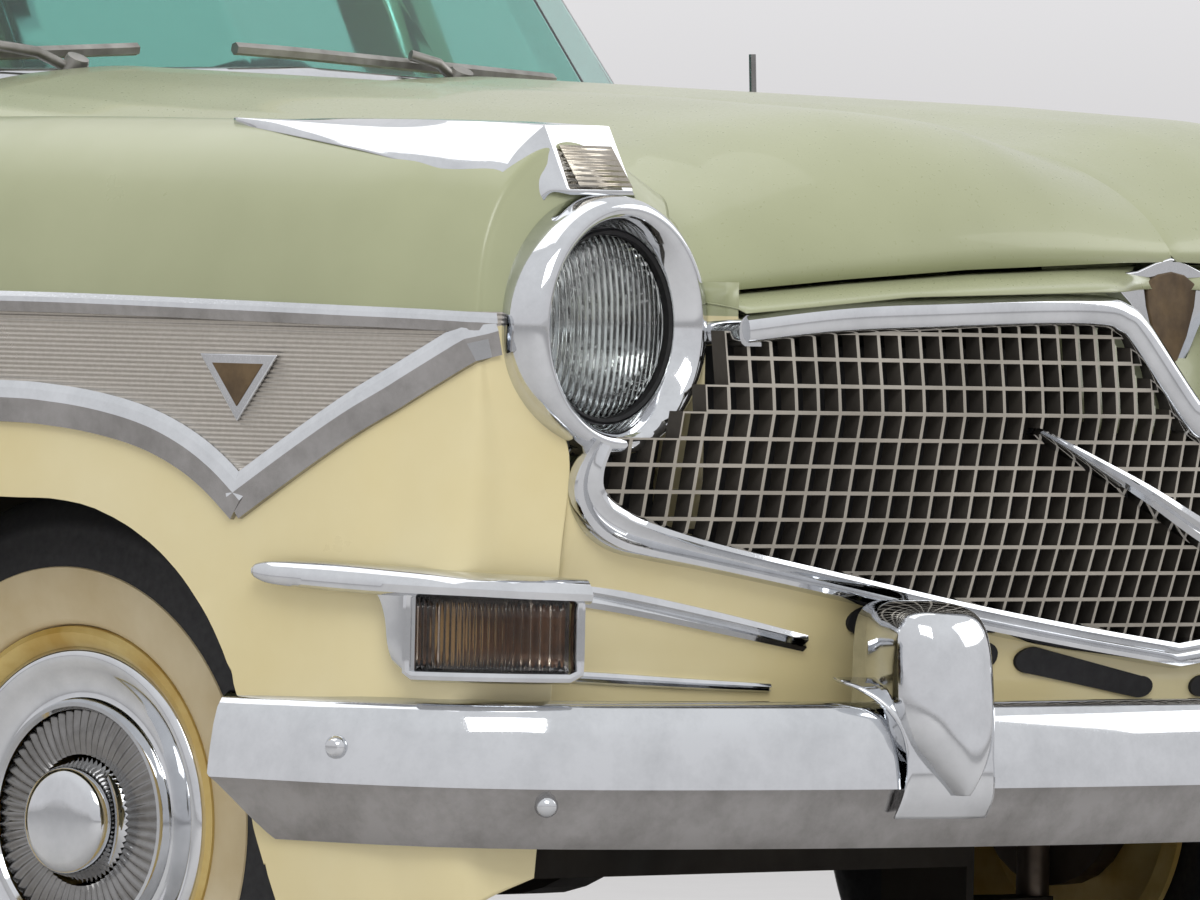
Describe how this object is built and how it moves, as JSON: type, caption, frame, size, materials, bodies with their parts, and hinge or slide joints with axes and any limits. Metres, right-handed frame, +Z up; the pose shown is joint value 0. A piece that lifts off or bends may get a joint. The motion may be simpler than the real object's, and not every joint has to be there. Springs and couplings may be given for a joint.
{
  "type": "classic saloon car",
  "caption": "Full-size 1950s four-door saloon car with opening doors, bonnet and boot, steered front wheels, free-turning wheels, egg-crate grille and wrap-round chrome bumpers.",
  "frame": {"origin": "on the ground below the middle of the overall length and width", "axes": "+Z up, -Y to the front of the car, +X to its left side; the wheels stand on Z = 0"},
  "size_m": [1.964, 5.26, 1.5306],
  "materials": {
    "body_green": "chalky semi-gloss sage green paint",
    "body_cream": "chalky semi-gloss cream paint",
    "chrome": "aged chrome plate",
    "grille_metal": "satin grey metal",
    "clear_glass": "fluted clear glass",
    "tinted_glass": "teal-tinted glass",
    "red_lens": "red lens",
    "dash_paint": "green paint",
    "black_plastic": "black moulded plastic",
    "seat_cloth": "green and cream cloth",
    "black_iron": "black underbody paint on iron and steel",
    "engine_iron": "painted cast iron",
    "exhaust_steel": "dull steel",
    "wheel_metal": "cream rim with a chrome cover",
    "tyre_rubber": "black rubber with a tan-aged whitewall"
  },
  "bodies": {
    "car_body": {"front_fenders": "body_green", "valance": "body_cream", "nose_panel": "body_green", "grille_frame": "chrome", "grille": "grille_metal", "front_lamps": "chrome", "lamp_lenses": "clear_glass", "front_bumper": "chrome", "rear_bumper": "chrome", "cowl": "body_green", "roof": "body_cream", "windscreen": "tinted_glass", "rear_window": "tinted_glass", "rear_quarters": "body_green", "deck_panel": "body_green", "tail_panel": "body_cream", "tail_lamps": "red_lens", "floor_pan": "body_cream", "dashboard": "dash_paint", "front_seat": "seat_cloth", "rear_seat": "seat_cloth", "chassis_frame": "black_iron", "radiator": "black_iron", "engine": "engine_iron", "front_suspension": "black_iron", "rear_axle": "black_iron", "exhaust": "exhaust_steel", "fuel_tank": "black_iron"},
    "hood": {"hood": "body_green"},
    "boot_lid": {"boot_lid": "body_green"},
    "front_door_left": {"front_door_left": "body_green", "front_door_glass_left": "tinted_glass"},
    "front_door_right": {"front_door_right": "body_green", "front_door_glass_right": "tinted_glass"},
    "rear_door_left": {"rear_door_left": "body_green", "rear_door_glass_left": "tinted_glass"},
    "rear_door_right": {"rear_door_right": "body_green", "rear_door_glass_right": "tinted_glass"},
    "steering_wheel": {"steering_wheel": "black_plastic"},
    "knuckle_left": {"knuckle_left": "black_iron"},
    "knuckle_right": {"knuckle_right": "black_iron"},
    "front_wheel_left": {"front_wheel_left": "wheel_metal", "front_tyre_left": "tyre_rubber"},
    "front_wheel_right": {"front_wheel_right": "wheel_metal", "front_tyre_right": "tyre_rubber"},
    "rear_wheel_left": {"rear_wheel_left": "wheel_metal", "rear_tyre_left": "tyre_rubber"},
    "rear_wheel_right": {"rear_wheel_right": "wheel_metal", "rear_tyre_right": "tyre_rubber"}
  },
  "joints": [
    {"name": "hood_hinge", "type": "hinge", "parent": "car_body", "child": "hood", "pos_m": [0, -1.26, 1.096], "axis": [-1, 0, 0], "range_deg": [0, 45]},
    {"name": "boot_hinge", "type": "hinge", "parent": "car_body", "child": "boot_lid", "pos_m": [0, 1.648, 1.054], "axis": [1, 0, 0], "range_deg": [0, 60]},
    {"name": "front_door_left_hinge", "type": "hinge", "parent": "car_body", "child": "front_door_left", "pos_m": [0.971, -1, 0.65], "axis": [0, 0, -1], "range_deg": [0, 65]},
    {"name": "front_door_right_hinge", "type": "hinge", "parent": "car_body", "child": "front_door_right", "pos_m": [-0.971, -1, 0.65], "axis": [0, 0, 1], "range_deg": [0, 65]},
    {"name": "rear_door_left_hinge", "type": "hinge", "parent": "car_body", "child": "rear_door_left", "pos_m": [0.971, 0.006, 0.65], "axis": [0, 0, -1], "range_deg": [0, 65]},
    {"name": "rear_door_right_hinge", "type": "hinge", "parent": "car_body", "child": "rear_door_right", "pos_m": [-0.971, 0.006, 0.65], "axis": [0, 0, 1], "range_deg": [0, 65]},
    {"name": "steer_left", "type": "hinge", "parent": "car_body", "child": "knuckle_left", "pos_m": [0.65, -1.74, 0.33], "axis": [0, 0, 1], "range_deg": [-30, 30]},
    {"name": "steer_right", "type": "hinge", "parent": "car_body", "child": "knuckle_right", "pos_m": [-0.65, -1.74, 0.33], "axis": [0, 0, 1], "range_deg": [-30, 30]},
    {"name": "steering_wheel_turn", "type": "hinge", "parent": "car_body", "child": "steering_wheel", "pos_m": [0.37, -0.742, 0.93], "axis": [0, 0.8496, 0.5275], "range_deg": [-600, 600]},
    {"name": "front_wheel_left_spin", "type": "hinge", "parent": "knuckle_left", "child": "front_wheel_left", "pos_m": [0.755, -1.74, 0.33], "axis": [1, 0, 0], "continuous": true},
    {"name": "front_wheel_right_spin", "type": "hinge", "parent": "knuckle_right", "child": "front_wheel_right", "pos_m": [-0.755, -1.74, 0.33], "axis": [1, 0, 0], "continuous": true},
    {"name": "rear_wheel_left_spin", "type": "hinge", "parent": "car_body", "child": "rear_wheel_left", "pos_m": [0.755, 1.36, 0.33], "axis": [1, 0, 0], "continuous": true},
    {"name": "rear_wheel_right_spin", "type": "hinge", "parent": "car_body", "child": "rear_wheel_right", "pos_m": [-0.755, 1.36, 0.33], "axis": [1, 0, 0], "continuous": true}
  ],
  "couplings": [
    {"joint": "steer_right", "follows": "steer_left", "ratio": 1},
    {"joint": "steering_wheel_turn", "follows": "steer_left", "ratio": 20}
  ]
}
